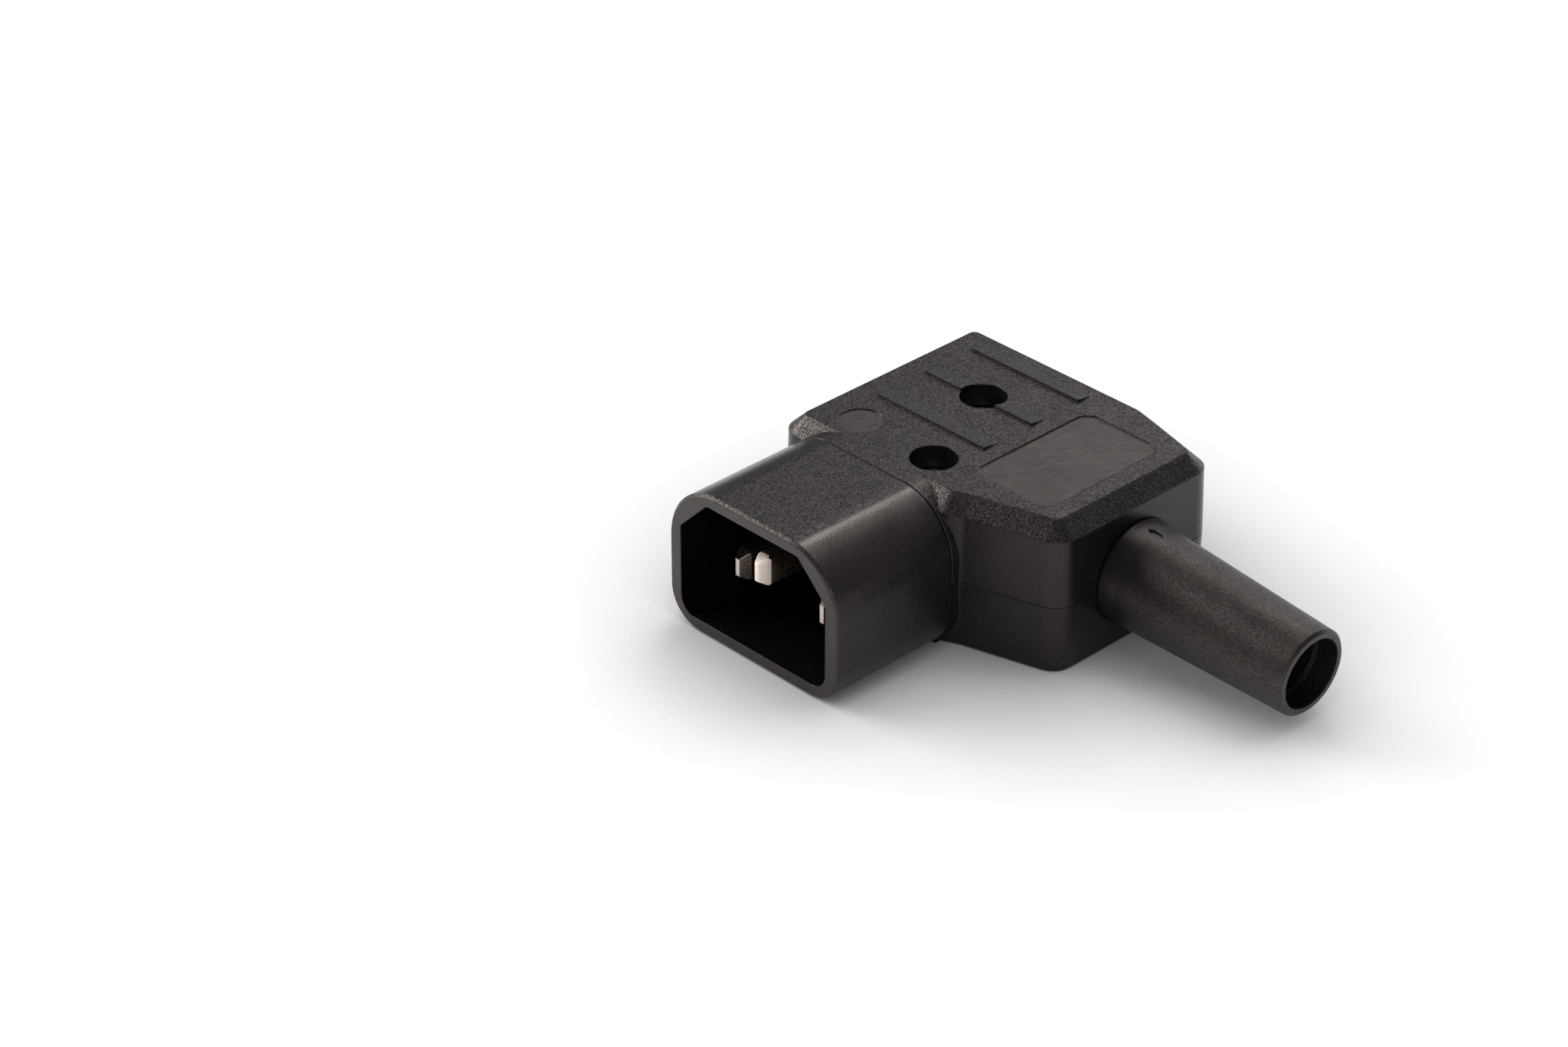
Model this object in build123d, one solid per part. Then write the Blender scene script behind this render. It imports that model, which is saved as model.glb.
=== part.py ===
from build123d import *
from math import radians, sin
import os

# Rewireable right-angle appliance plug, sizes in millimetres.
# X runs along the cord towards the sleeve, the shroud opens towards -Y, and Z is up.
# Shapes are drawn with x = 0 on the contacts' middle plane, y = 0 on the rim and
# z = 0 on the flat underside, then moved until the origin is under the middle of the whole.

# Connector face
OPENING_WIDTH = 24.0
OPENING_HEIGHT = 16.1
OPENING_CHAMFER = 4.5
OPENING_CORNER_RADIUS = 2.2
OPENING_EDGE_RADIUS = 0.8
CONTACT_PITCH = 14.0
CONTACT_LIFT = 0.2
EARTH_RAISE = 4.0
BLADE_HEIGHT = 4.0
BLADE_THICKNESS = 2.0
BLADE_EDGE = 0.35
LINE_TIP_DEPTH = 4.3
EARTH_TIP_DEPTH = 0.75

# Shroud
SIDE_WALL = 1.95
FLOOR_WALL = 1.7
ROOF_WALL = 1.6
SHROUD_LENGTH = 18.2
CARRIER_THICKNESS = 2.0
SHROUD_FOOT_RADIUS = 4.8
SHROUD_CROWN_RADIUS = 8.0
RIM_CHAMFER = 0.35

# Body outline at the parting plane seen from above, measured from the shroud's sides and back
LEFT_SHOULDER = 1.55
END_RUN = 12.45
COLLAR_LENGTH = 0.4
BODY_DEPTH = 33.6
SHOULDER_LAP = 2.15
SHOULDER_RUN = 2.4
SHOULDER_SETBACK = 1.15
TAPER_RUN = 12.5
END_WIDTH = 25.6
CORD_DEPTH = 17.5
CORNER_RADIUS = 3.1
SHOULDER_RADIUS = 3.0
KINK_RADIUS = 4.0

# Shells
BODY_WALL = 1.8
BODY_ROOF = 2.0
PARTING_HEIGHT = 8.8
DRAFT_ANGLE = 1.5
TOP_CHAMFER = 2.0
FOOT_CHAMFER = 0.25
PARTING_REVEAL = 0.05
SEAM_WIDTH = 0.2
SEAM_DEPTH = 0.6
LIP_HEIGHT = 1.0
LIP_THICKNESS = 0.8

# Top face
TOP_CENTRE_X = -1.3
RIDGE_LENGTH = 17.6
RIDGE_WIDTH = 2.4
RIDGE_HEIGHT = 0.35
RIDGE_SPACING = 8.0
RIDGE_COUNT = 3
FIRST_RIDGE_DEPTH = 11.5
SCREW_SIDE_OFFSET = 6.0
FRONT_SCREW_DEPTH = 6.0
REAR_SCREW_DEPTH = 20.5
SPOT_RADIUS = 2.8
SPOT_SINK = 0.15
PANEL_END_MARGIN = 4.8
PANEL_LENGTH = 11.8
PANEL_WIDTH = 19.5
PANEL_SHIFT = 0.65
PANEL_CORNER_RADIUS = 1.8
PANEL_SINK = 0.15

# Cover screws
COVER_HEAD_RADIUS = 2.6
COVER_HEAD_HEIGHT = 1.9
COVER_SHANK_RADIUS = 1.5
COVER_SHANK_LENGTH = 10.5
COVER_HEAD_SINK = 3.0
HEAD_ROOM = 0.3
TOWER_WALL = 1.0
TOWER_FLOOR = 1.6
BOSS_WALL = 1.1

# Contacts and their terminals
EARTH_BLOCK_WIDTH = 4.1
BLOCK_DEPTH = 7.0
BLOCK_HEIGHT = 5.8
JOINING_PLATE_DEPTH = 2.2
TIP_LENGTH = 1.4
TIP_THICKNESS = 0.6
TIP_HEIGHT = 2.3
WIRE_HOLE_RADIUS = 1.4
WIRE_HOLE_LENGTH = 5.6
TERMINAL_SCREW_RADIUS = 1.25
TERMINAL_SETBACK = 3.2
BARRIER_THICKNESS = 1.2
BARRIER_LENGTH = 9.0
BARRIER_DROP = 0.8

# Bend relief sleeve
CORD_BORE_RADIUS = 3.9
SLEEVE_LENGTH = 26.6
SLEEVE_TAPER = 0.9
SLEEVE_FLARE = 0.35
SLEEVE_FLARE_LENGTH = 2.3
SLEEVE_LIP_WALL = 1.0
SLEEVE_LIP_CHAMFER = 0.35
MOUTH_STEP = 0.55
MOUTH_DEPTH = 3.0
SLEEVE_DROOP = 3.3
NECK_WALL = 1.4
FLANGE_THICKNESS = 2.0
FLANGE_EAR = 3.7
FLANGE_MARGIN = 0.3
TRAP_RIB_THICKNESS = 1.4
GATE_LENGTH = 2.3
GATE_WIDTH = 0.9
GATE_SINK = 0.2

# Cord clamp
CLAMP_SETBACK = 9.7
CLAMP_WIDTH = 6.0
CLAMP_THICKNESS = 3.0
CLAMP_SPAN = 16.0
CLAMP_RISE = 1.2
CLAMP_GROOVE_SINK = 1.4
CLAMP_SHANK_RADIUS = 1.4
CLAMP_SHANK_LENGTH = 8.5
CLAMP_HEAD_RADIUS = 2.5
CLAMP_HEAD_HEIGHT = 1.7
SADDLE_THICKNESS = 2.0
SADDLE_ROOM = 0.7

# Screw drives
SLOT_WIDTH = 0.7
SLOT_DEPTH = 0.7
CROSS_WIDTH = 0.8
CROSS_DEPTH = 1.0
CROSS_SHARE = 0.6

# Clearances, and the extra length that lets a cutting shape pass through a face
FIT = 0.1
LOOSE_FIT = 0.2
CUT = 1.0

# Values worked out from the sizes above
HEIGHT = FLOOR_WALL + OPENING_HEIGHT + ROOF_WALL
CEILING = HEIGHT - BODY_ROOF
SHROUD_HALF = OPENING_WIDTH / 2 + SIDE_WALL
LEFT_X = -SHROUD_HALF - LEFT_SHOULDER
END_X = SHROUD_HALF + END_RUN
BODY_FRONT = SHROUD_LENGTH + COLLAR_LENGTH
BODY_BACK = BODY_FRONT + BODY_DEPTH
CORD_Y = BODY_FRONT + CORD_DEPTH
CORD_Z = PARTING_HEIGHT
FACE_CENTRE_Z = FLOOR_WALL + OPENING_HEIGHT / 2
LINE_Z = FACE_CENTRE_Z + CONTACT_LIFT - EARTH_RAISE / 2
EARTH_Z = FACE_CENTRE_Z + CONTACT_LIFT + EARTH_RAISE / 2
HOLE_RADIUS = COVER_HEAD_RADIUS + HEAD_ROOM
TOWER_RADIUS = HOLE_RADIUS + TOWER_WALL
BOSS_RADIUS = COVER_SHANK_RADIUS + BOSS_WALL
SEAT_Z = HEIGHT - COVER_HEAD_SINK - COVER_HEAD_HEIGHT
BOSS_TOP = SEAT_Z - TOWER_FLOOR
FRONT_SCREW = (TOP_CENTRE_X + SCREW_SIDE_OFFSET, BODY_FRONT + FRONT_SCREW_DEPTH)
REAR_SCREW = (TOP_CENTRE_X, BODY_FRONT + REAR_SCREW_DEPTH)
COVER_SCREWS = (FRONT_SCREW, REAR_SCREW)
SPOT = (TOP_CENTRE_X - SCREW_SIDE_OFFSET, BODY_FRONT + FRONT_SCREW_DEPTH)
CLAMP_X = END_X - CLAMP_SETBACK
CLAMP_SEAT = CORD_Z + CLAMP_RISE
CLAMP_SCREWS = ((CLAMP_X, CORD_Y - CLAMP_SPAN / 2), (CLAMP_X, CORD_Y + CLAMP_SPAN / 2))
SADDLE_RADIUS = CORD_BORE_RADIUS + SADDLE_ROOM
NECK_RADIUS = CORD_BORE_RADIUS + NECK_WALL
MOUTH_RADIUS = CORD_BORE_RADIUS + MOUTH_STEP
SLEEVE_TIP_RADIUS = MOUTH_RADIUS + SLEEVE_LIP_WALL
SLEEVE_ROOT_RADIUS = SLEEVE_TIP_RADIUS + SLEEVE_TAPER
SLEEVE_FOOT_RADIUS = SLEEVE_ROOT_RADIUS + SLEEVE_FLARE
SLEEVE_LEAN = SLEEVE_FOOT_RADIUS * sin(radians(SLEEVE_DROOP))
FLANGE_HALF_WIDTH = NECK_RADIUS + FLANGE_EAR
FLANGE_HALF_HEIGHT = min(CORD_Z - FLOOR_WALL, CEILING - CORD_Z) - FLANGE_MARGIN
FLANGE_X = END_X - BODY_WALL - FIT - FLANGE_THICKNESS
TERMINAL_BACK = SHROUD_LENGTH + JOINING_PLATE_DEPTH + BLOCK_DEPTH
LINE_BLOCK_INNER = FRONT_SCREW[0] + BOSS_RADIUS + LOOSE_FIT
LINE_BLOCK_OUTER = OPENING_WIDTH / 2 - LOOSE_FIT
EARTH_BLOCK_END = FRONT_SCREW[0] - TOWER_RADIUS - LOOSE_FIT

# Each contact: blade centre across and up, depth of its tip, and its block's two sides
CONTACTS = {
    "live": (-CONTACT_PITCH / 2, LINE_Z, LINE_TIP_DEPTH, -LINE_BLOCK_OUTER, -LINE_BLOCK_INNER),
    "neutral": (CONTACT_PITCH / 2, LINE_Z, LINE_TIP_DEPTH, LINE_BLOCK_INNER, LINE_BLOCK_OUTER),
    "earth": (0, EARTH_Z, EARTH_TIP_DEPTH, EARTH_BLOCK_END - EARTH_BLOCK_WIDTH, EARTH_BLOCK_END),
}


def box(x0, x1, y0, y1, z0, z1):
    """Block between two corners."""
    middle = Pos((x0 + x1) / 2, (y0 + y1) / 2, (z0 + z1) / 2)
    return middle * Box(x1 - x0, y1 - y0, z1 - z0)


def post(centre, radius, z0, z1):
    """Upright cylinder from z0 to z1."""
    return Pos(centre[0], centre[1], (z0 + z1) / 2) * Cylinder(radius, z1 - z0)


def cord_rod(radius, x0, x1, z=CORD_Z):
    """Cylinder along the cord from x0 to x1."""
    return Pos((x0 + x1) / 2, CORD_Y, z) * Rot(0, 90, 0) * Cylinder(radius, x1 - x0)


def level(z0, z1):
    """Slab that covers the whole body between two heights."""
    return box(LEFT_X - CUT, END_X + CUT, 0, BODY_BACK + CUT, z0, z1)


def rounded(face, corners):
    """Round the corners of a flat face, each given as a point and a radius."""
    for point, radius in corners:
        face = fillet(face.vertices().sort_by_distance(Vector(*point))[0], radius)
    return face


def upright_face(points, radii):
    """Closed outline in the XZ plane with a radius at each corner."""
    corners = [(x, 0, z) for x, z in points]
    return rounded(make_face(Polyline(*corners, close=True)), zip(corners, radii))


def along_y(face, y0, y1):
    """Prism of an XZ outline between two depths."""
    return extrude(Pos(0, y0, 0) * face, y1 - y0, dir=(0, 1, 0))


def shroud_face(inset=0):
    """Outside of the shroud seen from the front, drawn in by a wall."""
    half = SHROUD_HALF - inset
    high = HEIGHT - inset
    foot = SHROUD_FOOT_RADIUS - inset
    crown = SHROUD_CROWN_RADIUS - inset
    points = [(-half, inset), (half, inset), (half, high), (-half, high)]
    return upright_face(points, [foot, foot, crown, crown])


def opening_face():
    """Opening for the mating lead, with two cut corners at the top."""
    half = OPENING_WIDTH / 2
    low = FLOOR_WALL
    high = FLOOR_WALL + OPENING_HEIGHT
    cut = OPENING_CHAMFER
    points = [(-half, low), (half, low), (half, high - cut), (half - cut, high)]
    points += [(cut - half, high), (-half, high - cut)]
    return upright_face(points, [OPENING_CORNER_RADIUS] * 2 + [OPENING_EDGE_RADIUS] * 4)


def body_plan():
    """Body outline seen from above."""
    front_left = (LEFT_X, BODY_FRONT)
    shoulder = (SHROUD_HALF - SHOULDER_LAP, BODY_FRONT)
    near_start = (shoulder[0] + SHOULDER_RUN, BODY_FRONT + SHOULDER_SETBACK)
    near_end = (END_X, CORD_Y - END_WIDTH / 2)
    far_end = (END_X, CORD_Y + END_WIDTH / 2)
    kink = (END_X - TAPER_RUN, BODY_BACK)
    back_left = (LEFT_X, BODY_BACK)
    outline = Polyline(front_left, shoulder, near_start, near_end, far_end, kink, back_left, close=True)
    corners = [(point, CORNER_RADIUS) for point in (front_left, near_end, far_end, back_left)]
    corners += [(shoulder, SHOULDER_RADIUS), (near_start, SHOULDER_RADIUS), (kink, KINK_RADIUS)]
    return rounded(make_face(outline), corners)


def drafted_body(rise):
    """Outside of the body above or below the parting plane, narrowing as it goes."""
    return extrude(Pos(0, 0, PARTING_HEIGHT) * body_plan(), rise, taper=DRAFT_ANGLE)


def inner_prism(inset, z0, z1):
    """Prism of the body outline drawn in by a wall."""
    return extrude(Pos(0, 0, z0) * offset(body_plan(), amount=-inset), z1 - z0)


def collar_hollow(z0, z1):
    """Room behind the contact carrier, inside the collar."""
    hollow = along_y(shroud_face(SIDE_WALL), SHROUD_LENGTH, BODY_FRONT + BODY_WALL + CUT)
    return hollow & level(z0, z1)


def plate_sides(name):
    """Sides of the plate that joins a blade to its terminal block."""
    x, _, _, x0, x1 = CONTACTS[name]
    return min(x0, x - BLADE_THICKNESS / 2), max(x1, x + BLADE_THICKNESS / 2)


def terminal_centre(name):
    """Axis of a terminal screw."""
    _, _, _, x0, x1 = CONTACTS[name]
    return (x0 + x1) / 2, TERMINAL_BACK - TERMINAL_SETBACK


def trap_rib(z0, z1):
    """Rib that holds the sleeve's flange against the end wall."""
    x1 = FLANGE_X - FIT
    x0 = x1 - TRAP_RIB_THICKNESS
    rib = box(x0, x1, CORD_Y - FLANGE_HALF_WIDTH, CORD_Y + FLANGE_HALF_WIDTH, z0, z1)
    return rib - cord_rod(NECK_RADIUS, x0 - CUT, x1 + CUT)


def end_hole():
    """Hole in the end wall for the sleeve's neck."""
    return cord_rod(NECK_RADIUS + FIT, END_X - BODY_WALL - CUT, END_X + CUT)


def shell_and_shroud():
    """Lower shell, shroud and contact carrier as one hollow moulding."""
    body = drafted_body(-PARTING_HEIGHT)
    body = chamfer(body.faces().sort_by(Axis.Z)[0].edges(), FOOT_CHAMFER)
    shroud = along_y(shroud_face(), 0, SHROUD_LENGTH)
    shroud = chamfer(shroud.faces().sort_by(Axis.Y)[0].edges(), RIM_CHAMFER)
    tail = along_y(shroud_face(), SHROUD_LENGTH, BODY_FRONT + BODY_WALL)
    base = body + shroud + (tail & level(0, PARTING_HEIGHT))
    base -= inner_prism(BODY_WALL, FLOOR_WALL, PARTING_HEIGHT + CUT)
    base -= along_y(opening_face(), -CUT, SHROUD_LENGTH - CARRIER_THICKNESS)
    base -= collar_hollow(FLOOR_WALL, PARTING_HEIGHT + CUT)
    return base


def locating_lip():
    """Lip along the back of the lower shell that centres the cover."""
    lip = inner_prism(BODY_WALL + FIT, PARTING_HEIGHT - LIP_HEIGHT, PARTING_HEIGHT + LIP_HEIGHT)
    lip += inner_prism(BODY_WALL, PARTING_HEIGHT - LIP_HEIGHT, PARTING_HEIGHT)
    lip -= inner_prism(BODY_WALL + FIT + LIP_THICKNESS, 0, HEIGHT)
    return lip & box(LEFT_X, END_X - TAPER_RUN, CORD_Y, BODY_BACK, 0, HEIGHT)


def clamp_saddle():
    """Rib between the clamp's bosses, hollowed for the cord."""
    near, far = CLAMP_SCREWS
    half = SADDLE_THICKNESS / 2
    saddle = box(CLAMP_X - half, CLAMP_X + half, near[1], far[1], 0, CLAMP_SEAT)
    saddle -= cord_rod(SADDLE_RADIUS, CLAMP_X - CLAMP_WIDTH, CLAMP_X + CLAMP_WIDTH)
    return saddle - box(LEFT_X, END_X, CORD_Y - SADDLE_RADIUS, CORD_Y + SADDLE_RADIUS, CORD_Z, HEIGHT)


def contact_seats():
    """Pedestals under the terminal blocks and barriers between them."""
    seats = []
    for _, z, _, x0, x1 in CONTACTS.values():
        seats.append(box(x0 + FIT, x1 - FIT, SHROUD_LENGTH, TERMINAL_BACK, 0, z - BLOCK_HEIGHT / 2))
    half = BARRIER_THICKNESS / 2
    live_gap = (plate_sides("live")[1] + plate_sides("earth")[0]) / 2
    neutral_gap = (plate_sides("earth")[1] + plate_sides("neutral")[0]) / 2
    for x, end in ((live_gap, SHROUD_LENGTH + BARRIER_LENGTH), (neutral_gap, FRONT_SCREW[1])):
        seats.append(box(x - half, x + half, SHROUD_LENGTH, end, 0, BOSS_TOP - BARRIER_DROP))
    return seats


def lower_housing():
    """Base moulding: shroud, contact carrier and the lower half of the body."""
    base = shell_and_shroud() + locating_lip() + clamp_saddle() + trap_rib(0, PARTING_HEIGHT)
    for centre in COVER_SCREWS:
        base += post(centre, BOSS_RADIUS, 0, BOSS_TOP)
    for centre in CLAMP_SCREWS:
        base += post(centre, CLAMP_SHANK_RADIUS + BOSS_WALL, 0, CLAMP_SEAT)
    for seat in contact_seats():
        base += seat
    half_x = BLADE_THICKNESS / 2 + FIT
    half_z = BLADE_HEIGHT / 2 + FIT
    front = SHROUD_LENGTH - CARRIER_THICKNESS - CUT
    for x, z, _, _, _ in CONTACTS.values():
        base -= box(x - half_x, x + half_x, front, SHROUD_LENGTH, z - half_z, z + half_z)
    for centre in COVER_SCREWS:
        base -= post(centre, COVER_SHANK_RADIUS + FIT, SEAT_Z - COVER_SHANK_LENGTH - FIT, SEAT_Z)
    for centre in CLAMP_SCREWS:
        bottom = CLAMP_SEAT + CLAMP_THICKNESS - CLAMP_SHANK_LENGTH - FIT
        base -= post(centre, CLAMP_SHANK_RADIUS + FIT, bottom, CLAMP_SEAT + CUT)
    return base - end_hole()


def ridge(y):
    """Grip ridge: upright towards the front, fading into the top face behind."""
    x0 = TOP_CENTRE_X - RIDGE_LENGTH / 2
    back = y + RIDGE_WIDTH
    corners = [(x0, y, CEILING), (x0, back, CEILING), (x0, back, HEIGHT), (x0, y, HEIGHT + RIDGE_HEIGHT)]
    return extrude(make_face(Polyline(*corners, close=True)), RIDGE_LENGTH, dir=(1, 0, 0))


def marking_panel():
    """Shallow sunk panel near the cord end, left blank."""
    middle = Pos(END_X - PANEL_END_MARGIN - PANEL_LENGTH / 2, CORD_Y - PANEL_SHIFT, HEIGHT - PANEL_SINK)
    return extrude(middle * RectangleRounded(PANEL_LENGTH, PANEL_WIDTH, PANEL_CORNER_RADIUS), CUT)


def cover_shell():
    """Upper shell with the collar that carries on the shroud's outline behind a shadow gap."""
    cover = drafted_body(HEIGHT - PARTING_HEIGHT)
    cover = chamfer(cover.faces().sort_by(Axis.Z)[-1].edges(), TOP_CHAMFER)
    cover = chamfer(cover.faces().sort_by(Axis.Z)[0].edges(), PARTING_REVEAL)
    collar_front = SHROUD_LENGTH + SEAM_WIDTH
    collar = along_y(shroud_face(), collar_front, BODY_FRONT + TOP_CHAMFER + CUT)
    collar += along_y(shroud_face(SEAM_DEPTH), SHROUD_LENGTH, collar_front)
    cover += collar & level(PARTING_HEIGHT, HEIGHT)
    for number in range(RIDGE_COUNT):
        cover += ridge(BODY_FRONT + FIRST_RIDGE_DEPTH + number * RIDGE_SPACING)
    cover -= inner_prism(BODY_WALL, PARTING_HEIGHT - CUT, CEILING)
    return cover - collar_hollow(PARTING_HEIGHT - CUT, HEIGHT)


def upper_cover():
    """Cover moulding: upper half of the body, with towers for its two screws."""
    cover = cover_shell() + trap_rib(PARTING_HEIGHT, HEIGHT - TOP_CHAMFER)
    for centre in COVER_SCREWS:
        cover += post(centre, TOWER_RADIUS, BOSS_TOP, CEILING)
        cover -= post(centre, HOLE_RADIUS, SEAT_Z, HEIGHT + CUT)
        cover -= post(centre, COVER_SHANK_RADIUS + LOOSE_FIT, BOSS_TOP - CUT, HEIGHT)
    cover -= post(SPOT, SPOT_RADIUS, HEIGHT - SPOT_SINK, HEIGHT + CUT)
    return cover - marking_panel() - end_hole()


def bevelled_outline(half, tip_half, tip, back):
    """Outline of a bar with a bevelled end, as points across and along it."""
    right = [(tip_half, tip), (half, tip + TIP_LENGTH), (half, back)]
    return right + [(-across, along) for across, along in reversed(right)]


def blade(x, z, tip, back):
    """Flat blade with cut long edges and a tip bevelled on all four sides."""
    middle = Pos(x, (tip + back) / 2, z)
    bar = middle * Box(BLADE_THICKNESS, back - tip, BLADE_HEIGHT)
    bar = chamfer(bar.edges().filter_by(Axis.Y), BLADE_EDGE)
    wide = bevelled_outline(BLADE_THICKNESS / 2, TIP_THICKNESS / 2, tip, back)
    high = bevelled_outline(BLADE_HEIGHT / 2, TIP_HEIGHT / 2, tip, back)
    from_above = [(x + across, along, z) for across, along in wide]
    from_side = [(x, along, z + up) for up, along in high]
    bar &= extrude(make_face(Polyline(*from_above, close=True)), BLADE_HEIGHT, both=True)
    return bar & extrude(make_face(Polyline(*from_side, close=True)), BLADE_THICKNESS, both=True)


def contact(name):
    """Flat blade, and the pillar terminal behind the carrier."""
    x, z, tip, x0, x1 = CONTACTS[name]
    low = z - BLOCK_HEIGHT / 2
    high = z + BLOCK_HEIGHT / 2
    plate_x0, plate_x1 = plate_sides(name)
    plate_back = SHROUD_LENGTH + JOINING_PLATE_DEPTH
    piece = blade(x, z, tip, plate_back)
    piece += box(plate_x0, plate_x1, SHROUD_LENGTH, plate_back, low, high)
    piece += box(x0, x1, plate_back, TERMINAL_BACK, low, high)
    wire_hole = Pos((x0 + x1) / 2, TERMINAL_BACK - WIRE_HOLE_LENGTH / 2, z) * Rot(90, 0, 0)
    piece -= wire_hole * Cylinder(WIRE_HOLE_RADIUS, WIRE_HOLE_LENGTH)
    return piece - post(terminal_centre(name), TERMINAL_SCREW_RADIUS + FIT, z, high + CUT)


def terminal_screw(name):
    """Headless slotted screw that pinches the wire in its pillar."""
    _, z, _, _, _ = CONTACTS[name]
    x, y = terminal_centre(name)
    top = z + BLOCK_HEIGHT / 2
    screw = post((x, y), TERMINAL_SCREW_RADIUS, z + WIRE_HOLE_RADIUS, top)
    half = SLOT_WIDTH / 2
    reach = TERMINAL_SCREW_RADIUS + CUT
    return screw - box(x - half, x + half, y - reach, y + reach, top - SLOT_DEPTH, top + CUT)


def cross_screw(centre, seat, head_radius, head_height, shank_radius, shank_length):
    """Thread-forming screw with a cheese head and a cross recess."""
    x, y = centre
    top = seat + head_height
    screw = post(centre, head_radius, seat, top) + post(centre, shank_radius, seat - shank_length, seat)
    half = CROSS_WIDTH / 2
    reach = head_radius * CROSS_SHARE
    screw -= box(x - half, x + half, y - reach, y + reach, top - CROSS_DEPTH, top + CUT)
    return screw - box(x - reach, x + reach, y - half, y + half, top - CROSS_DEPTH, top + CUT)


def cover_screw(centre):
    """Screw that pulls the cover down onto the base."""
    return cross_screw(
        centre, SEAT_Z, COVER_HEAD_RADIUS, COVER_HEAD_HEIGHT, COVER_SHANK_RADIUS, COVER_SHANK_LENGTH)


def clamp_screw(centre):
    """Screw at one end of the cord clamp."""
    seat = CLAMP_SEAT + CLAMP_THICKNESS
    return cross_screw(
        centre, seat, CLAMP_HEAD_RADIUS, CLAMP_HEAD_HEIGHT, CLAMP_SHANK_RADIUS, CLAMP_SHANK_LENGTH)


def cord_clamp():
    """Bar that presses the cord into the saddle."""
    outline = Pos(CLAMP_X, CORD_Y, CLAMP_SEAT) * Rectangle(CLAMP_WIDTH, CLAMP_SPAN + CLAMP_WIDTH)
    bar = extrude(outline, CLAMP_THICKNESS)
    groove_z = CLAMP_SEAT + CLAMP_GROOVE_SINK - SADDLE_RADIUS
    bar -= cord_rod(SADDLE_RADIUS, CLAMP_X - CLAMP_WIDTH, CLAMP_X + CLAMP_WIDTH, groove_z)
    for centre in CLAMP_SCREWS:
        bar -= post(centre, CLAMP_SHANK_RADIUS + LOOSE_FIT, CLAMP_SEAT - CUT, HEIGHT)
    return bar


def gate_mark():
    """Small pit left by the moulding gate on top of the sleeve."""
    long = GATE_LENGTH / 2
    wide = GATE_WIDTH / 2
    upper = [(long, 0), (long / 2, wide), (-long / 2, wide)]
    outline = make_face(Polyline(*upper, *[(-x, -y) for x, y in upper], close=True))
    return extrude(Pos(SLEEVE_FLARE_LENGTH, 0, SLEEVE_ROOT_RADIUS - GATE_SINK) * outline, CUT)


def sleeve_tube():
    """Tapered tube with a flared foot, drawn along X from the end wall."""
    foot = [(-SLEEVE_LEAN, 0), (-SLEEVE_LEAN, SLEEVE_FOOT_RADIUS), (SLEEVE_FLARE_LENGTH, SLEEVE_ROOT_RADIUS)]
    lip = [(SLEEVE_LENGTH - SLEEVE_LIP_CHAMFER, SLEEVE_TIP_RADIUS)]
    lip += [(SLEEVE_LENGTH, SLEEVE_TIP_RADIUS - SLEEVE_LIP_CHAMFER)]
    tube = revolve(make_face(Polyline(*foot, *lip, (SLEEVE_LENGTH, 0), close=True)), Axis.X)
    return tube - gate_mark()


def bend_relief_sleeve():
    """Soft sleeve: flange and neck held in the end wall, tapered tube outside."""
    hang = Pos(END_X, CORD_Y, CORD_Z) * Rot(0, SLEEVE_DROOP, 0)
    half = FLANGE_HALF_WIDTH - FIT
    low = CORD_Z - FLANGE_HALF_HEIGHT
    high = CORD_Z + FLANGE_HALF_HEIGHT
    neck_end = END_X + CUT
    behind = box(
        END_X - 2 * SLEEVE_LEAN - CUT, END_X + FIT, CORD_Y - 2 * SLEEVE_FOOT_RADIUS,
        CORD_Y + 2 * SLEEVE_FOOT_RADIUS, CORD_Z - 2 * SLEEVE_FOOT_RADIUS, CORD_Z + 2 * SLEEVE_FOOT_RADIUS)
    sleeve = hang * sleeve_tube() - behind
    sleeve += box(FLANGE_X, FLANGE_X + FLANGE_THICKNESS, CORD_Y - half, CORD_Y + half, low, high)
    sleeve += cord_rod(NECK_RADIUS, FLANGE_X + FLANGE_THICKNESS, neck_end)
    sleeve -= cord_rod(CORD_BORE_RADIUS, FLANGE_X - CUT, neck_end)
    bore = Cylinder(CORD_BORE_RADIUS, SLEEVE_LENGTH + CUT)
    sleeve -= hang * Pos(SLEEVE_LENGTH / 2, 0, 0) * Rot(0, 90, 0) * bore
    mouth = Cylinder(MOUTH_RADIUS, MOUTH_DEPTH + CUT, align=(Align.CENTER, Align.CENTER, Align.MIN))
    return sleeve - hang * Pos(SLEEVE_LENGTH - MOUTH_DEPTH, 0, 0) * Rot(0, 90, 0) * mouth


def build_parts():
    """All pieces by name."""
    parts = {"lower_housing": lower_housing(), "upper_cover": upper_cover()}
    for name in CONTACTS:
        parts[f"{name}_contact"] = contact(name)
        parts[f"{name}_terminal_screw"] = terminal_screw(name)
    parts["cord_clamp"] = cord_clamp()
    parts["clamp_screw_front"] = clamp_screw(CLAMP_SCREWS[0])
    parts["clamp_screw_rear"] = clamp_screw(CLAMP_SCREWS[1])
    parts["cover_screw_front"] = cover_screw(FRONT_SCREW)
    parts["cover_screw_rear"] = cover_screw(REAR_SCREW)
    parts["bend_relief_sleeve"] = bend_relief_sleeve()
    return parts


os.makedirs("parts", exist_ok=True)
pieces = build_parts()
extent = Compound(list(pieces.values())).bounding_box()
place = Pos(-extent.center().X, -extent.center().Y, -extent.min.Z)
for node, solid in pieces.items():
    export_step(place * solid, f"parts/{node}.step")
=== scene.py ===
import logging
import math
from dataclasses import dataclass, field
from enum import Enum

import bpy
from mathutils import Matrix, Vector

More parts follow.
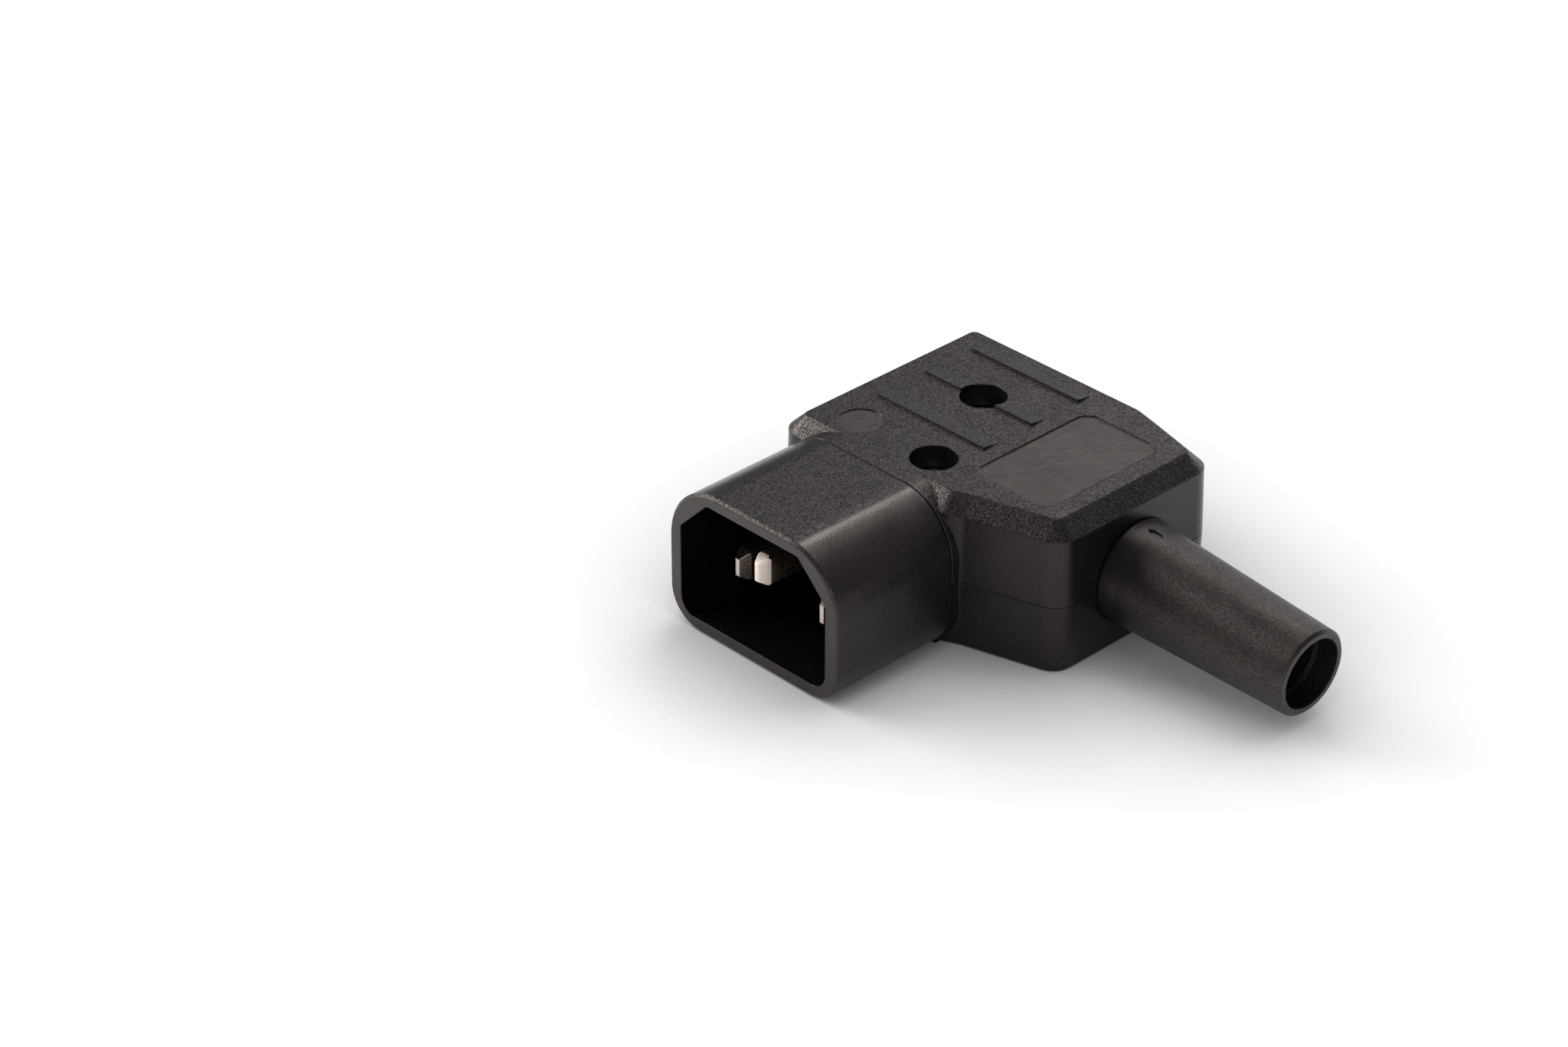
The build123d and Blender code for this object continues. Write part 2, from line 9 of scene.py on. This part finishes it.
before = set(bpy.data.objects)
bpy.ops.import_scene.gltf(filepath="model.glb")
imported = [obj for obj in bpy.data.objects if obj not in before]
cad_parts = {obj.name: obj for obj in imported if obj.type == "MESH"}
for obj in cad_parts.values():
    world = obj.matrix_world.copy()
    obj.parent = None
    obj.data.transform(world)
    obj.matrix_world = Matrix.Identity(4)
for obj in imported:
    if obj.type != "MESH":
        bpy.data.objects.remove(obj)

LOG = logging.getLogger("plug")
MM = 0.001
Colour = tuple[float, float, float]
Triple = tuple[float, float, float]
Range = tuple[float, float]
Sockets = tuple[bpy.types.NodeSocket, ...]
X, Y, Z = 0, 1, 2

FULL: Range = (0.0, 1.0)
NOISE_MIDDLE: Range = (0.3, 0.7)
PLASTIC_IOR = 1.55
EDGE_SAMPLES = 4
SHADE_SAMPLES = 4

# Blender's numbers of the mix node's sockets, which share their names.
MIX_NUMBERS = (2, 3)
MIX_COLOURS = (6, 7)
MIXED_COLOUR = 2


class Slot(Enum):
    """Material slots of the record."""

    HOUSING = "housing_plastic"
    SLEEVE = "sleeve_rubber"
    CONTACT = "contact_metal"
    SCREW = "screw_steel"
    CLAMP = "clamp_plastic"


class Graph:
    """Node tree of one material, with short calls for the nodes used here."""

    def __init__(self, name: str) -> None:
        """Start an empty material.

        Args:
            name: Name of the material.
        """
        self.material = bpy.data.materials.new(name)
        self.material.use_nodes = True
        self.nodes = self.material.node_tree.nodes
        self.links = self.material.node_tree.links
        self.nodes.clear()

    def add(self, kind: str, **settings: object) -> bpy.types.Node:
        """Add a node and set its properties.

        Args:
            kind: Blender's type name of the node.
            settings: Properties of the node.

        Returns:
            The new node.
        """
        node = self.nodes.new(kind)
        for key, value in settings.items():
            setattr(node, key, value)
        return node

    def feed(self, socket: bpy.types.NodeSocket, value: object) -> None:
        """Link a socket, or set its constant.

        Args:
            socket: Input to fill.
            value: Output socket, number or colour.
        """
        if isinstance(value, bpy.types.NodeSocket):
            self.links.new(value, socket)
        else:
            socket.default_value = value

    def millimetres(self) -> bpy.types.NodeSocket:
        """Position on the piece, in millimetres."""
        place = self.add("ShaderNodeTexCoord")
        scale = self.add("ShaderNodeVectorMath", operation="SCALE")
        self.feed(scale.inputs[0], place.outputs["Object"])
        scale.inputs["Scale"].default_value = 1.0 / MM
        return scale.outputs["Vector"]

    def split(self, vector: bpy.types.NodeSocket) -> Sockets:
        """The three parts of a vector.

        Args:
            vector: Vector socket.

        Returns:
            The X, Y and Z sockets.
        """
        node = self.add("ShaderNodeSeparateXYZ")
        self.feed(node.inputs[0], vector)
        return node.outputs[X], node.outputs[Y], node.outputs[Z]

    def facing(self) -> Sockets:
        """The X, Y and Z parts of the surface's direction."""
        place = self.add("ShaderNodeTexCoord")
        return self.split(place.outputs["Normal"])

    def stretch(self, vector: bpy.types.NodeSocket, factors: Triple) -> bpy.types.NodeSocket:
        """Scale a vector along its axes.

        Args:
            vector: Vector socket.
            factors: Factor for each axis.

        Returns:
            The scaled vector.
        """
        node = self.add("ShaderNodeVectorMath", operation="MULTIPLY")
        self.feed(node.inputs[0], vector)
        node.inputs[1].default_value = factors
        return node.outputs["Vector"]

    def noise(self, vector: bpy.types.NodeSocket, scale: float,
              detail: float = 2.0) -> bpy.types.NodeSocket:
        """Soft random field.

        Args:
            vector: Position in millimetres.
            scale: Features per millimetre.
            detail: Number of finer layers.

        Returns:
            Value from 0 to 1.
        """
        node = self.add("ShaderNodeTexNoise")
        self.feed(node.inputs["Vector"], vector)
        node.inputs["Scale"].default_value = scale
        node.inputs["Detail"].default_value = detail
        return node.outputs[0]

    def cells(self, vector: bpy.types.NodeSocket, scale: float) -> bpy.types.NodeSocket:
        """Scattered grains.

        Args:
            vector: Position in millimetres.
            scale: Grains per millimetre.

        Returns:
            Distance from the middle of a grain.
        """
        node = self.add("ShaderNodeTexVoronoi")
        self.feed(node.inputs["Vector"], vector)
        node.inputs["Scale"].default_value = scale
        return node.outputs["Distance"]

    def span(self, value: bpy.types.NodeSocket, source: Range,
             target: Range = FULL) -> bpy.types.NodeSocket:
        """Map one range of a value onto another, smoothly and with held ends.

        Args:
            value: Value to map.
            source: Range that counts.
            target: Range that it becomes.

        Returns:
            The mapped value.
        """
        node = self.add("ShaderNodeMapRange", interpolation_type="SMOOTHSTEP")
        self.feed(node.inputs["Value"], value)
        node.inputs["From Min"].default_value = source[0]
        node.inputs["From Max"].default_value = source[1]
        node.inputs["To Min"].default_value = target[0]
        node.inputs["To Max"].default_value = target[1]
        return node.outputs[0]

    def calc(self, operation: str, first: object, second: object = 0.0) -> bpy.types.NodeSocket:
        """One sum on two values.

        Args:
            operation: Blender's name of the sum.
            first: Socket or number.
            second: Socket or number.

        Returns:
            The result.
        """
        node = self.add("ShaderNodeMath", operation=operation)
        self.feed(node.inputs[0], first)
        self.feed(node.inputs[1], second)
        return node.outputs[0]

    def within(self, value: bpy.types.NodeSocket, middle: float,
               half: float) -> bpy.types.NodeSocket:
        """Where a value lies within a band.

        Args:
            value: Value to test.
            middle: Middle of the band.
            half: Half of the band's width.

        Returns:
            1 inside the band, 0 outside.
        """
        away = self.calc("ABSOLUTE", self.calc("SUBTRACT", value, middle))
        return self.calc("LESS_THAN", away, half)

    def between(self, factor: bpy.types.NodeSocket, first: object,
                second: object) -> bpy.types.NodeSocket:
        """Number between two numbers.

        Args:
            factor: 0 for the first, 1 for the second.
            first: Socket or number.
            second: Socket or number.

        Returns:
            The number.
        """
        node = self.add("ShaderNodeMix", data_type="FLOAT")
        self.feed(node.inputs["Factor"], factor)
        for index, value in zip(MIX_NUMBERS, (first, second)):
            self.feed(node.inputs[index], value)
        return node.outputs[0]

    def brushed(self, place: Sockets, slant: float, scale: Range) -> bpy.types.NodeSocket:
        """Position stretched along fine brushing lines near the Y axis.

        Args:
            place: Position in millimetres.
            slant: Shift of the lines along X for each millimetre of Y.
            scale: Factors across and along the lines.

        Returns:
            The stretched position.
        """
        node = self.add("ShaderNodeCombineXYZ")
        across = self.calc("SUBTRACT", place[X], self.calc("MULTIPLY", place[Y], slant))
        self.feed(node.inputs[X], self.calc("MULTIPLY", across, scale[0]))
        self.feed(node.inputs[Y], self.calc("MULTIPLY", place[Y], scale[1]))
        return node.outputs[0]

    def blend(self, factor: bpy.types.NodeSocket, first: Colour,
              second: Colour) -> bpy.types.NodeSocket:
        """Colour between two colours.

        Args:
            factor: 0 for the first, 1 for the second.
            first: Linear colour.
            second: Linear colour.

        Returns:
            The colour socket.
        """
        node = self.add("ShaderNodeMix", data_type="RGBA")
        self.feed(node.inputs["Factor"], factor)
        for index, colour in zip(MIX_COLOURS, (first, second)):
            node.inputs[index].default_value = (*colour, 1.0)
        return node.outputs[MIXED_COLOUR]

    def bump(self, height: bpy.types.NodeSocket, depth: float, strength: object,
             edge: float) -> bpy.types.NodeSocket:
        """Normal of a fine relief over softly rounded edges.

        Args:
            height: Height from 0 to 1.
            depth: Depth of the relief in millimetres.
            strength: Share of the relief that shows.
            edge: Radius of the rounding at the edges in millimetres.

        Returns:
            The normal.
        """
        rounding = self.add("ShaderNodeBevel", samples=EDGE_SAMPLES)
        rounding.inputs["Radius"].default_value = edge * MM
        node = self.add("ShaderNodeBump")
        self.links.new(rounding.outputs[0], node.inputs["Normal"])
        self.feed(node.inputs["Height"], height)
        self.feed(node.inputs["Strength"], strength)
        node.inputs["Distance"].default_value = depth * MM
        return node.outputs["Normal"]

    def surface(self, **inputs: object) -> bpy.types.Material:
        """Close the tree with a principled surface.

        Args:
            inputs: Sockets or constants, with underscores for the spaces in their names.

        Returns:
            The finished material.
        """
        shader = self.add("ShaderNodeBsdfPrincipled")
        for key, value in inputs.items():
            self.feed(shader.inputs[key.replace("_", " ")], value)
        output = self.add("ShaderNodeOutputMaterial")
        self.links.new(shader.outputs[0], output.inputs[0])
        return self.material


@dataclass(frozen=True)
class MouldedPlastic:
    """Warm black thermoplastic of the housing.

    It is sandy on top, satin on the walls and brushed in the sunk marks. Inside the opening it is
    kept at its darkest tone with almost no gloss, which is painted shade. Lengths and places are in
    millimetres. A turn or a slope is a range of the upward share of the surface's direction, which
    is 1 on a level face and 0 on a wall. A lean is a range of its share along Y.
    """

    name: str = "moulded_black"
    dark: Colour = (0.0045, 0.0040, 0.0040)
    light: Colour = (0.0150, 0.0134, 0.0130)
    light_grains: Range = (0.35, 0.72)
    gloss_tint: Colour = (1.0, 0.87, 0.82)

    grain_per_mm: float = 3.4
    grain_depth: float = 0.065
    level_grain: float = 0.72
    crown_grain: float = 0.35
    wall_grain: float = 0.08
    glint_per_grain: float = 1.1
    glint_detail: float = 1.0

    top_roughness: float = 0.42
    sunk_roughness: float = 0.45
    wall_roughness: float = 0.30
    patch_per_mm: float = 0.18
    patch_change: Range = (-0.03, 0.04)

    wall_gloss: float = 0.39
    crown_gloss: float = 0.90
    slope_gloss: float = 1.22
    grain_gloss: Range = (0.18, 0.66)
    sunk_gloss: Range = (0.40, 0.84)
    # Painted shade: the opening's walls get almost no gloss, so the recess looks dark.
    opening_shade_gloss: float = 0.06
    rim_gloss: float = 0.60

    shroud_turn: Range = (0.974, 0.9995)
    cover_turn: Range = (0.80, 0.97)
    wall_turn: Range = (0.0, 0.30)
    slope_start: Range = (0.15, 0.62)
    slope_end: Range = (0.97, 0.85)
    sunk_turn: Range = (0.93, 0.98)
    gloss_turn: Range = (0.15, 0.60)
    rim_lean: Range = (-0.3, -0.6)

    rim_back: float = -25.9
    body_front: float = -7.5
    front_blur: float = 0.1
    sunk_height: float = 19.25
    sunk_half: float = 0.05
    brush_slant: float = 0.17
    brush_scale: Range = (7.0, 0.4)
    opening_middle: Triple = (-18.875, -17.9, 9.75)
    opening_half: Triple = (12.05, 8.15, 8.10)
    least_inward: float = -0.5
    edge: float = 0.28

    def grained(self, graph: Graph, place: Sockets, facing: Sockets) -> bpy.types.NodeSocket:
        """Where the sandy grain lies.

        It covers level faces, the cover's chamfers and the rim's upper edge, less of the crown, and
        least of the walls.

        Args:
            graph: Tree of the material.
            place: Position in millimetres.
            facing: Direction of the surface.

        Returns:
            Share of the grain from 0 to 1.
        """
        up = facing[Z]
        front = (self.body_front - self.front_blur, self.body_front + self.front_blur)
        behind = graph.span(place[Y], front)
        rise = (0.0, self.level_grain - self.crown_grain)
        shroud = graph.span(up, self.shroud_turn, rise)
        cover = graph.span(up, self.cover_turn, rise)
        level = graph.between(behind, shroud, cover)
        level = graph.calc("ADD", level, graph.span(up, self.wall_turn, (0.0, self.crown_grain)))
        start = graph.span(up, self.slope_start)
        sloped = graph.calc("MULTIPLY", start, graph.span(up, self.slope_end))
        forward = graph.span(facing[Y], self.rim_lean)
        sloped = graph.calc("MULTIPLY", sloped, graph.calc("MAXIMUM", behind, forward))
        return graph.calc("MAXIMUM", level, sloped)

    def sunk(self, graph: Graph, place: Sockets, facing: Sockets) -> bpy.types.NodeSocket:
        """Where the floor of the panel and of the round mark lies.

        Args:
            graph: Tree of the material.
            place: Position in millimetres.
            facing: Direction of the surface.

        Returns:
            1 on those floors, 0 elsewhere.
        """
        near = graph.within(place[Z], self.sunk_height, self.sunk_half)
        behind = graph.calc("GREATER_THAN", place[Y], self.body_front)
        near = graph.calc("MULTIPLY", near, behind)
        return graph.calc("MULTIPLY", near, graph.span(facing[Z], self.sunk_turn))

    def inside(self, graph: Graph, place: Sockets, facing: Sockets) -> bpy.types.NodeSocket:
        """Where the walls of the connector's opening lie, which all look towards its axis.

        Args:
            graph: Tree of the material.
            place: Position in millimetres.
            facing: Direction of the surface.

        Returns:
            1 inside the opening, 0 elsewhere.
        """
        share = graph.within(place[X], self.opening_middle[X], self.opening_half[X])
        for axis in (Y, Z):
            side = graph.within(place[axis], self.opening_middle[axis], self.opening_half[axis])
            share = graph.calc("MULTIPLY", share, side)
        leans = []
        for axis in (X, Z):
            away = graph.calc("SUBTRACT", self.opening_middle[axis], place[axis])
            leans.append(graph.calc("MULTIPLY", away, facing[axis]))
        inward = graph.calc("GREATER_THAN", graph.calc("ADD", *leans), self.least_inward)
        return graph.calc("MULTIPLY", share, inward)

    def make(self) -> bpy.types.Material:
        """Build the material.

        Returns:
            The material.
        """
        graph = Graph(self.name)
        point = graph.millimetres()
        place = graph.split(point)
        facing = graph.facing()
        sunk = self.sunk(graph, place, facing)
        bare = graph.calc("SUBTRACT", 1.0, sunk)
        grained = graph.calc("MULTIPLY", self.grained(graph, place, facing), bare)
        strength = graph.span(grained, FULL, (self.wall_grain, 1.0))
        pebbles = graph.noise(point, self.grain_per_mm)
        patches = graph.noise(point, self.patch_per_mm)
        brushed = graph.noise(graph.brushed(place, self.brush_slant, self.brush_scale), 1.0)
        glint = graph.noise(point, self.grain_per_mm * self.glint_per_grain, self.glint_detail)
        glint = graph.span(glint, NOISE_MIDDLE, self.grain_gloss)
        streak = graph.span(brushed, NOISE_MIDDLE, self.sunk_gloss)
        sandy = graph.span(grained, (self.crown_grain, self.level_grain))
        smooth = graph.span(facing[Z], self.gloss_turn, (self.wall_gloss, self.crown_gloss))
        sloped = graph.span(grained, (self.level_grain, 1.0), (1.0, self.slope_gloss))
        glint = graph.calc("MULTIPLY", glint, sloped)
        gloss = graph.between(sandy, smooth, glint)
        gloss = graph.between(sunk, gloss, streak)
        rim = graph.calc("LESS_THAN", place[Y], self.rim_back)
        gloss = graph.between(rim, gloss, self.rim_gloss)
        # Painted shade in the opening: its walls lose their gloss and keep only the darkest tone.
        inside = self.inside(graph, place, facing)
        gloss = graph.between(inside, gloss, self.opening_shade_gloss)
        lit = graph.span(pebbles, self.light_grains)
        # Painted shade: inside the opening the colour is held at the darkest tone.
        lit = graph.calc("MULTIPLY", lit, graph.calc("SUBTRACT", 1.0, inside))
        colour = graph.blend(lit, self.dark, self.light)
        roughness = graph.span(sandy, FULL, (self.wall_roughness, self.top_roughness))
        roughness = graph.between(sunk, roughness, self.sunk_roughness)
        change = graph.span(patches, NOISE_MIDDLE, self.patch_change)
        roughness = graph.calc("ADD", roughness, change)
        normal = graph.bump(pebbles, self.grain_depth, strength, self.edge)
        return graph.surface(Base_Color=colour, Roughness=roughness, Normal=normal,
                             IOR=PLASTIC_IOR, Specular_IOR_Level=gloss,
                             Specular_Tint=(*self.gloss_tint, 1.0))


@dataclass(frozen=True)
class SoftSleeve:
    """Warm black soft plastic: smooth at the root, dull with fine specks further out."""

    name: str = "sleeve_black"
    dark: Colour = (0.0070, 0.0062, 0.0058)
    speck: Colour = (0.050, 0.047, 0.044)
    speck_per_mm: float = 1.7
    speck_edge: Range = (0.12, 0.05)
    gloss_tint: Colour = (1.0, 0.87, 0.82)
    root_x: float = 8.0
    dull_x: float = 15.0
    root_roughness: float = 0.40
    dull_roughness: float = 0.46
    cloud_per_mm: float = 0.35
    cloud_detail: float = 3.0
    cloud_change: Range = (-0.03, 0.05)
    grain_per_mm: float = 4.0
    grain_depth: float = 0.045
    grain_strength: Range = (0.2, 0.9)
    glint_per_grain: float = 0.8
    glint_detail: float = 1.0
    root_gloss: float = 0.45
    grain_gloss: Range = (0.42, 0.74)
    edge: float = 0.2

    def make(self) -> bpy.types.Material:
        """Build the material.

        Returns:
            The material.
        """
        graph = Graph(self.name)
        place = graph.millimetres()
        along = graph.split(place)[X]
        dull = graph.span(along, (self.root_x, self.dull_x))
        specks = graph.span(graph.cells(place, self.speck_per_mm), self.speck_edge)
        specks = graph.calc("MULTIPLY", specks, dull)
        colour = graph.blend(specks, self.dark, self.speck)
        cloud = graph.noise(place, self.cloud_per_mm, self.cloud_detail)
        roughness = graph.span(dull, FULL, (self.root_roughness, self.dull_roughness))
        change = graph.span(cloud, NOISE_MIDDLE, self.cloud_change)
        roughness = graph.calc("ADD", roughness, change)
        grain = graph.noise(place, self.grain_per_mm)
        strength = graph.span(dull, FULL, self.grain_strength)
        glint = graph.noise(place, self.grain_per_mm * self.glint_per_grain, self.glint_detail)
        glint = graph.span(glint, NOISE_MIDDLE, self.grain_gloss)
        gloss = graph.between(dull, self.root_gloss, glint)
        normal = graph.bump(grain, self.grain_depth, strength, self.edge)
        return graph.surface(Base_Color=colour, Roughness=roughness, Normal=normal,
                             IOR=PLASTIC_IOR, Specular_IOR_Level=gloss,
                             Specular_Tint=(*self.gloss_tint, 1.0))


@dataclass(frozen=True)
class PlatedMetal:
    """Bright plated metal with fine drawing lines along one axis."""

    name: str
    dark: Colour
    light: Colour
    roughness: float
    roughness_change: Range = (-0.04, 0.05)
    lines: Triple = (18.0, 0.7, 18.0)
    line_detail: float = 3.0
    line_depth: float = 0.0003
    line_strength: float = 0.6
    stain_per_mm: float = 0.8
    stain_detail: float = 3.0
    edge: float = 0.1

    def make(self) -> bpy.types.Material:
        """Build the material.

        Returns:
            The material.
        """
        graph = Graph(self.name)
        place = graph.millimetres()
        streaks = graph.noise(graph.stretch(place, self.lines), 1.0, self.line_detail)
        stains = graph.noise(place, self.stain_per_mm, self.stain_detail)
        colour = graph.blend(graph.span(stains, NOISE_MIDDLE), self.dark, self.light)
        low, high = self.roughness_change
        limits = (self.roughness + low, self.roughness + high)
        roughness = graph.span(streaks, NOISE_MIDDLE, limits)
        normal = graph.bump(streaks, self.line_depth, self.line_strength, self.edge)
        return graph.surface(Base_Color=colour, Metallic=1.0, Roughness=roughness, Normal=normal)


@dataclass(frozen=True)
class PlainPlastic:
    """Dark plastic of the pieces inside."""

    name: str = "inner_dark"
    dark: Colour = (0.020, 0.020, 0.020)
    light: Colour = (0.032, 0.032, 0.031)
    cloud_per_mm: float = 0.9
    cloud_detail: float = 3.0
    grain_per_mm: float = 4.0
    grain_depth: float = 0.02
    grain_strength: float = 0.5
    roughness: float = 0.5
    edge: float = 0.15

    def make(self) -> bpy.types.Material:
        """Build the material.

        Returns:
            The material.
        """
        graph = Graph(self.name)
        place = graph.millimetres()
        cloud = graph.noise(place, self.cloud_per_mm, self.cloud_detail)
        colour = graph.blend(graph.span(cloud, NOISE_MIDDLE), self.dark, self.light)
        grain = graph.noise(place, self.grain_per_mm)
        normal = graph.bump(grain, self.grain_depth, self.grain_strength, self.edge)
        return graph.surface(Base_Color=colour, Roughness=self.roughness, Normal=normal)


def dress(node: str, material: bpy.types.Material) -> None:
    """Give a CAD node its finish.

    Args:
        node: Name of the CAD node.
        material: Finish to show.
    """
    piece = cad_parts[node]
    piece.data.materials.clear()
    piece.data.materials.append(material)
    LOG.info("%s wears %s", node, material.name)


@dataclass
class Housing:
    """Lower housing with the shroud, and the cover that closes it."""

    finish: MouldedPlastic = field(default_factory=MouldedPlastic)
    nodes: tuple[str, ...] = ("lower_housing", "upper_cover")

    def dress(self) -> None:
        """Dress both mouldings in the same plastic."""
        material = self.finish.make()
        for node in self.nodes:
            dress(node, material)


@dataclass
class ContactSet:
    """Three blades with their terminals."""

    finish: PlatedMetal = PlatedMetal(
        "nickel_plate", (0.86, 0.73, 0.63), (0.95, 0.82, 0.72), 0.26)
    screw_finish: PlatedMetal = PlatedMetal(
        "zinc_plate", (0.45, 0.45, 0.44), (0.60, 0.60, 0.59), 0.32)
    poles: tuple[str, ...] = ("live", "neutral", "earth")

    def dress(self) -> None:
        """Dress the blades and their terminal screws."""
        blade = self.finish.make()
        screw = self.screw_finish.make()
        for pole in self.poles:
            dress(f"{pole}_contact", blade)
            dress(f"{pole}_terminal_screw", screw)


@dataclass
class Fasteners:
    """Cover screws, clamp screws and the clamp bar."""

    finish: PlatedMetal = PlatedMetal(
        "dark_zinc", (0.52, 0.51, 0.53), (0.66, 0.65, 0.67), 0.38)
    clamp_finish: PlainPlastic = field(default_factory=PlainPlastic)
    screws: tuple[str, ...] = (
        "cover_screw_front", "cover_screw_rear", "clamp_screw_front", "clamp_screw_rear")

    def dress(self) -> None:
        """Dress the screws and the clamp bar."""
        steel = self.finish.make()
        for node in self.screws:
            dress(node, steel)
        dress("cord_clamp", self.clamp_finish.make())


@dataclass
class Sleeve:
    """Bend-relief sleeve on the cord end."""

    finish: SoftSleeve = field(default_factory=SoftSleeve)

    def dress(self) -> None:
        """Dress the sleeve."""
        dress("bend_relief_sleeve", self.finish.make())


@dataclass
class SoftBox:
    """Square lamp that looks at the plug, in metres and watts."""

    name: str
    place: Triple
    size: float
    power: float

    def hang(self, target: Vector) -> None:
        """Put the lamp in the scene.

        Args:
            target: Point that it looks at.
        """
        data = bpy.data.lights.new(self.name, "AREA")
        data.shape = "SQUARE"
        data.size = self.size
        data.energy = self.power
        lamp = bpy.data.objects.new(self.name, data)
        lamp.location = Vector(self.place)
        lamp.rotation_euler = (target - lamp.location).to_track_quat("-Z", "Y").to_euler()
        bpy.context.scene.collection.objects.link(lamp)


@dataclass
class Studio:
    """Pale floor, soft world light and lamps, in metres."""

    floor_half: float = 3.0
    floor_drop: float = 0.02 * MM
    floor_colour: Colour = (0.80, 0.80, 0.80)
    seen_colour: Colour = (0.36, 0.36, 0.36)
    seen_glow: float = 0.78
    # Reach and sharpness of the painted contact shadow in the floor's white glow.
    shade_reach: float = 0.032
    shade_power: float = 2.0
    world_strength: float = 0.18
    lamp_target: Triple = (0.0, 0.0, 0.01)
    lamps: tuple[SoftBox, ...] = (
        SoftBox("overhead_softbox", (-0.05, 0.25, 0.87), 0.32, 1.40),
        SoftBox("crown_softbox", (-0.37, 0.475, 0.665), 0.24, 0.88),
        SoftBox("back_softbox", (0.0, 0.85, 0.25), 0.50, 1.45),
        SoftBox("back_left_softbox", (-0.35, 0.75, 0.40), 0.50, 0.70),
        SoftBox("left_softbox", (-0.72, -0.30, 0.45), 0.40, 5.2),
        SoftBox("front_softbox", (0.60, -0.60, 0.40), 0.50, 1.3),
    )

    def build(self) -> None:
        """Make the floor, the world and the lamps."""
        self.make_floor()
        self.make_world()
        for lamp in self.lamps:
            lamp.hang(Vector(self.lamp_target))

    def make_floor(self) -> None:
        """Lay the floor just under the plug."""
        half = self.floor_half
        mesh = bpy.data.meshes.new("floor")
        outline = [(-half, -half, 0.0), (half, -half, 0.0), (half, half, 0.0), (-half, half, 0.0)]
        mesh.from_pydata(outline, [], [(0, 1, 2, 3)])
        floor = bpy.data.objects.new("floor", mesh)
        floor.location.z = -self.floor_drop
        bpy.context.scene.collection.objects.link(floor)
        mesh.materials.append(self.floor_finish())

    def floor_finish(self) -> bpy.types.Material:
        """Pale matt floor that is seen as white, with the plug's shadow on it: a real shadow from
        the lamps, and a painted contact shadow where the white glow fades near the plug.

        Returns:
            The material.
        """
        graph = Graph("pale_floor")
        plain = graph.add("ShaderNodeBsdfDiffuse")
        plain.inputs["Color"].default_value = (*self.floor_colour, 1.0)
        seen = graph.add("ShaderNodeBsdfDiffuse")
        seen.inputs["Color"].default_value = (*self.seen_colour, 1.0)
        # Painted contact shadow: the white glow fades by ambient occlusion near the plug, and
        # glossy rays see this painted shade as well.
        painted_shadow_ao = graph.add("ShaderNodeAmbientOcclusion", samples=SHADE_SAMPLES)
        painted_shadow_ao.inputs["Distance"].default_value = self.shade_reach
        painted_contact_shadow = graph.calc("POWER", painted_shadow_ao.outputs["AO"], self.shade_power)
        glow = graph.add("ShaderNodeEmission")
        graph.feed(glow.inputs["Strength"], graph.calc("MULTIPLY", painted_contact_shadow, self.seen_glow))
        both = graph.add("ShaderNodeAddShader")
        graph.links.new(seen.outputs[0], both.inputs[0])
        graph.links.new(glow.outputs[0], both.inputs[1])
        path = graph.add("ShaderNodeLightPath").outputs
        looks = graph.calc("MAXIMUM", path["Is Camera Ray"], path["Is Glossy Ray"])
        looks = graph.calc("MAXIMUM", looks, path["Is Transmission Ray"])
        mix = graph.add("ShaderNodeMixShader")
        graph.links.new(looks, mix.inputs[0])
        graph.links.new(plain.outputs[0], mix.inputs[1])
        graph.links.new(both.outputs[0], mix.inputs[2])
        output = graph.add("ShaderNodeOutputMaterial")
        graph.links.new(mix.outputs[0], output.inputs[0])
        return graph.material

    def make_world(self) -> None:
        """Even soft light from all round."""
        world = bpy.data.worlds.new("soft_world")
        bpy.context.scene.world = world
        world.use_nodes = True
        nodes = world.node_tree.nodes
        nodes.clear()
        light = nodes.new("ShaderNodeBackground")
        light.inputs["Strength"].default_value = self.world_strength
        output = nodes.new("ShaderNodeOutputWorld")
        world.node_tree.links.new(light.outputs[0], output.inputs[0])


@dataclass
class PhotoCamera:
    """Camera at the photograph's view: angles in degrees, lens and sensor in millimetres."""

    azimuth: float = 46.24
    elevation: float = 31.555
    place_mm: Triple = (277.185, -304.520, 268.440)
    lens: float = 96.82
    sensor: float = 36.0
    nearest: float = 0.01
    farthest: float = 20.0

    def place(self) -> None:
        """Make the camera and set it as the scene's own."""
        data = bpy.data.cameras.new("photo_camera")
        data.sensor_fit = "HORIZONTAL"
        data.sensor_width = self.sensor
        data.lens = self.lens
        data.clip_start = self.nearest
        data.clip_end = self.farthest
        turn = math.radians(self.azimuth)
        lift = math.radians(self.elevation)
        level = math.cos(lift)
        right = Vector((math.cos(turn), math.sin(turn), 0.0))
        back = Vector((level * math.sin(turn), -level * math.cos(turn), math.sin(lift)))
        axes = Matrix((right, back.cross(right), back)).transposed().to_4x4()
        camera = bpy.data.objects.new("photo_camera", data)
        camera.matrix_world = Matrix.Translation(Vector(self.place_mm) * MM) @ axes
        bpy.context.scene.collection.objects.link(camera)
        bpy.context.scene.camera = camera


def main() -> None:
    """Dress the plug, light it and set the camera."""
    logging.basicConfig(level=logging.INFO, format="%(message)s")
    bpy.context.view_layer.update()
    for assembly in (Housing(), ContactSet(), Fasteners(), Sleeve()):
        assembly.dress()
    Studio().build()
    PhotoCamera().place()
    bpy.context.scene.view_settings.view_transform = "Standard"


if __name__ == "__main__":
    main()
